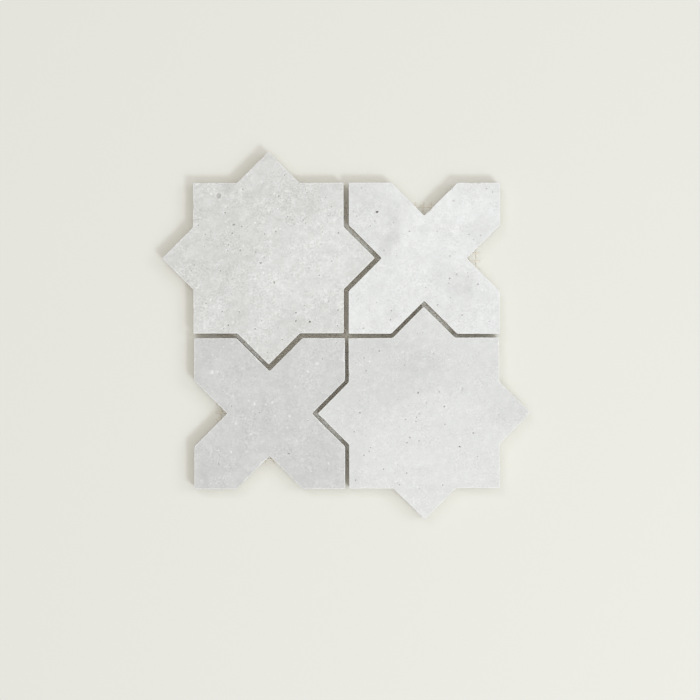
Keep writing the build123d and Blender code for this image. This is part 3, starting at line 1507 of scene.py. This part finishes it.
def white_cross() -> Stone:
    """The cross at the top right, the palest stone.

    Returns:
        The stone, ready to build.
    """
    finish = StoneFinish(
        "white_stone", pale=(0.913, 0.936, 0.935), grey=(0.649, 0.663, 0.658), clouds=0.3, streaks=0.4,
        streak_turn=60.0, mottles=0.82, blotches=0.1, grain=1.0, bright_share=0.08, dark_share=0.05,
        crater_share=0.06, fleck=0.4,
        patches=(
            Patch(-35 * MM, 22 * MM, 29 * MM, 17 * MM, 105.0, -0.21, softness=0.25),
            Patch(18 * MM, 26 * MM, 26 * MM, 20 * MM, 0.0, 0.08, softness=0.6),
            Patch(30 * MM, -34 * MM, 22 * MM, 13 * MM, 0.0, -0.1, softness=0.6),
            Patch(-19.3 * MM, 32 * MM, 9 * MM, 5 * MM, 100.0, -0.11),
            Patch(-18.8 * MM, 19 * MM, 9 * MM, 4.5 * MM, 85.0, -0.13),
            Patch(-23.5 * MM, 8.5 * MM, 8 * MM, 4 * MM, 70.0, -0.13),
            Patch(-0.7 * MM, 19.3 * MM, 7 * MM, 4 * MM, 0.0, -0.12),
            Patch(36 * MM, 18.5 * MM, 10 * MM, 7 * MM, 70.0, -0.17),
            Patch(27 * MM, 15.8 * MM, 5 * MM, 4 * MM, 0.0, -0.14),
            Patch(20 * MM, -13.5 * MM, 14 * MM, 9 * MM, -15.0, -0.17),
            Patch(36 * MM, -23.5 * MM, 10 * MM, 5 * MM, -20.0, -0.12),
            Patch(-22 * MM, -34.8 * MM, 7 * MM, 4.5 * MM, 80.0, -0.12),
            Patch(-32 * MM, -21.5 * MM, 7 * MM, 3 * MM, 0.0, -0.1),
            Patch(38 * MM, 44 * MM, 13 * MM, 6 * MM, 0.0, -0.1),
        ),
    )
    pits = marks(PitKind.DEEP, (-30.5, 29.8, 1.9)) + marks(
        PitKind.OPEN,
        (39.9, 45, 1.3), (44, 42.8, 1.1), (-31.9, 24, 1.2), (-34.8, 21, 1), (-19.8, 23.2, 1.2), (-9.7, 17.3, 1.3),
        (-13.2, 15.2, 1), (-43.8, 27.2, 1), (36.4, 15, 1.3), (28.6, 15.5, 1.2), (31.7, 12, 1), (16.2, -13, 1.4),
        (21, -10.3, 1.2), (15.6, -16, 1.1), (34.5, -16.6, 1.5), (8.4, -30, 1.2), (1, -18.7, 1), (-21.8, -39.6, 1.2),
        (-21.2, -33.7, 1.1), (24.5, -36.5, 1.3), (41.9, -40.6, 1.1),
    ) + marks(PitKind.RUST, (-40.6, 45.4, 1.5), (-26, 5, 1.3), (-39.2, -45.2, 1.6))
    return Stone("cross_north_east", StoneShape.CROSS, finish, PitScatter(seed=23, count=80, largest=0.8 * MM), pits,
                 set_off=(0.05 * MM, -0.05 * MM, -0.07), joint=2.65 * MM)


def filled_cross() -> Stone:
    """The cross at the bottom left, the greyest stone, with pale filled spots.

    Returns:
        The stone, ready to build.
    """
    finish = StoneFinish(
        "filled_grey_stone", pale=(0.77, 0.783, 0.779), grey=(0.48, 0.484, 0.476), clouds=0.28, streaks=0.3,
        streak_turn=80.0, mottles=0.66, blotches=0.1, grain=0.95, bright_share=0.1, dark_share=0.05,
        crater_share=0.05, fleck=0.4,
        patches=(
            Patch(-32 * MM, -32 * MM, 22 * MM, 12 * MM, 45.0, -0.08),
            Patch(30 * MM, 32 * MM, 22 * MM, 14 * MM, 45.0, 0.06),
        ),
    )
    pits = marks(
        PitKind.SMUDGE,
        (30.8, 32.4, 3), (24.7, 27, 2.6), (-37.3, 26.6, 3.4), (-9.7, 6, 2), (-13.2, 8.2, 2), (-2.4, 5.9, 1.8),
        (1.8, 7.2, 2), (12.9, -1.5, 2.4), (-21.7, -6.2, 2.2), (-11.9, -13.4, 1.6), (11.5, -9, 2),
        (-24.8, -24.9, 2), (37.9, -32, 2.2), (-44, -43, 2.4), (-38, -45, 1.2), (-23.4, 11.4, 1.8), (16.6, 17.5, 1.6),
    ) + marks(PitKind.OPEN, (34, 35.2, 1), (-32.9, -32.3, 1.1)) + marks(PitKind.DEEP, (12.4, -25.8, 0.9))
    few = ((PitKind.OPEN, 0.5), (PitKind.SMUDGE, 0.5))
    return Stone("cross_south_west", StoneShape.CROSS, finish, PitScatter(seed=31, count=60, kinds=few), pits,
                 set_off=(0.42 * MM, -0.12 * MM, 0.07), joint=2.8 * MM)


def clouded_star() -> Stone:
    """The star at the bottom right, pale with grey clouds.

    Returns:
        The stone, ready to build.
    """
    finish = StoneFinish(
        "clouded_stone", pale=(0.865, 0.883, 0.873), grey=(0.565, 0.575, 0.565), clouds=0.12, streaks=0.2,
        streak_turn=8.0, mottles=0.5, blotches=0.1, grain=0.78, bright_share=0.08, dark_share=0.1,
        crater_share=0.08, fleck=0.35,
        patches=(
            Patch(8 * MM, -35 * MM, 48.5 * MM, 48.5 * MM, 0.0, 0.08, softness=0.04, ragged=4 * MM),
            Patch(-28 * MM, 34 * MM, 44 * MM, 26 * MM, -20.0, -0.14, softness=0.6),
            Patch(-48 * MM, 2 * MM, 14 * MM, 14 * MM, 0.0, -0.06),
            Patch(-21.7 * MM, 44 * MM, 14 * MM, 4 * MM, 0.0, -0.05),
            Patch(-2.3 * MM, 31 * MM, 17 * MM, 6 * MM, 5.0, -0.08),
            Patch(56 * MM, 2 * MM, 16 * MM, 12 * MM, 0.0, -0.06),
        ),
    )
    pits = marks(PitKind.DEEP, (22.7, -21.8, 1.4)) + marks(
        PitKind.OPEN,
        (-39, -26.8, 1.7), (-34.6, -22, 1.2), (-37.4, 27.6, 1.4), (-41.5, 0.6, 1.5), (-3.9, 13.3, 1.6),
        (12.9, 4.3, 1.6), (13.2, -7.2, 1.4), (31.4, -13, 1.4), (-9.4, -15.6, 1.3), (-11.2, -19, 1.2), (-3.5, -17.8, 1.2),
        (-38.8, 35.7, 1.3), (-28.9, 40.2, 1.2), (-16.2, -46, 1.2), (-11.5, -38.6, 1.2), (-26.3, -35.9, 1.4),
        (11.6, -46.4, 1.2), (-12, -4, 1.2), (-5.5, -5.3, 1.2),
    ) + marks(PitKind.CHALK, (-0.9, 9.4, 1.6), (-34.7, 33.6, 1.5), (11.5, -1, 1.8), (15.8, 1.2, 1.5)) + marks(
        PitKind.RUST, (9.7, 13.6, 1.4))
    scatter = PitScatter(seed=47, count=180, largest=0.8 * MM, lean=(-0.3, 0.2))
    return Stone("star_south_east", StoneShape.STAR, finish, scatter, pits,
                 set_off=(0.0, 0.2 * MM, 0.3), worn={8: 1.8 * MM, 12: 2.4 * MM})


def main() -> None:
    """Builds and dresses the stones and the mesh, then the floor, the light and the camera."""
    logging.basicConfig(level=logging.INFO, format="%(name)s: %(message)s")
    effects = StoneEffects()
    for stone in (pitted_star(), white_cross(), filled_cross(), clouded_star()):
        piece = stone.build()
        stone.dress(piece, effects)
        LOG.info("%s has %d faces", piece.name, len(piece.data.polygons))
    weave = BackingMesh(sorted(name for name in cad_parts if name.startswith("backing_mesh")))
    yarns = [YarnFinish(run).material() for run in YarnRun]
    for node in weave.nodes:
        piece = weave.build(node)
        weave.dress(piece, node, yarns)
        LOG.info("%s has %d faces", piece.name, len(piece.data.polygons))
    studio = Studio()
    studio.lay_floor()
    studio.light()
    studio.place_camera(cad_bounds[1].z)


if __name__ == "__main__":
    main()
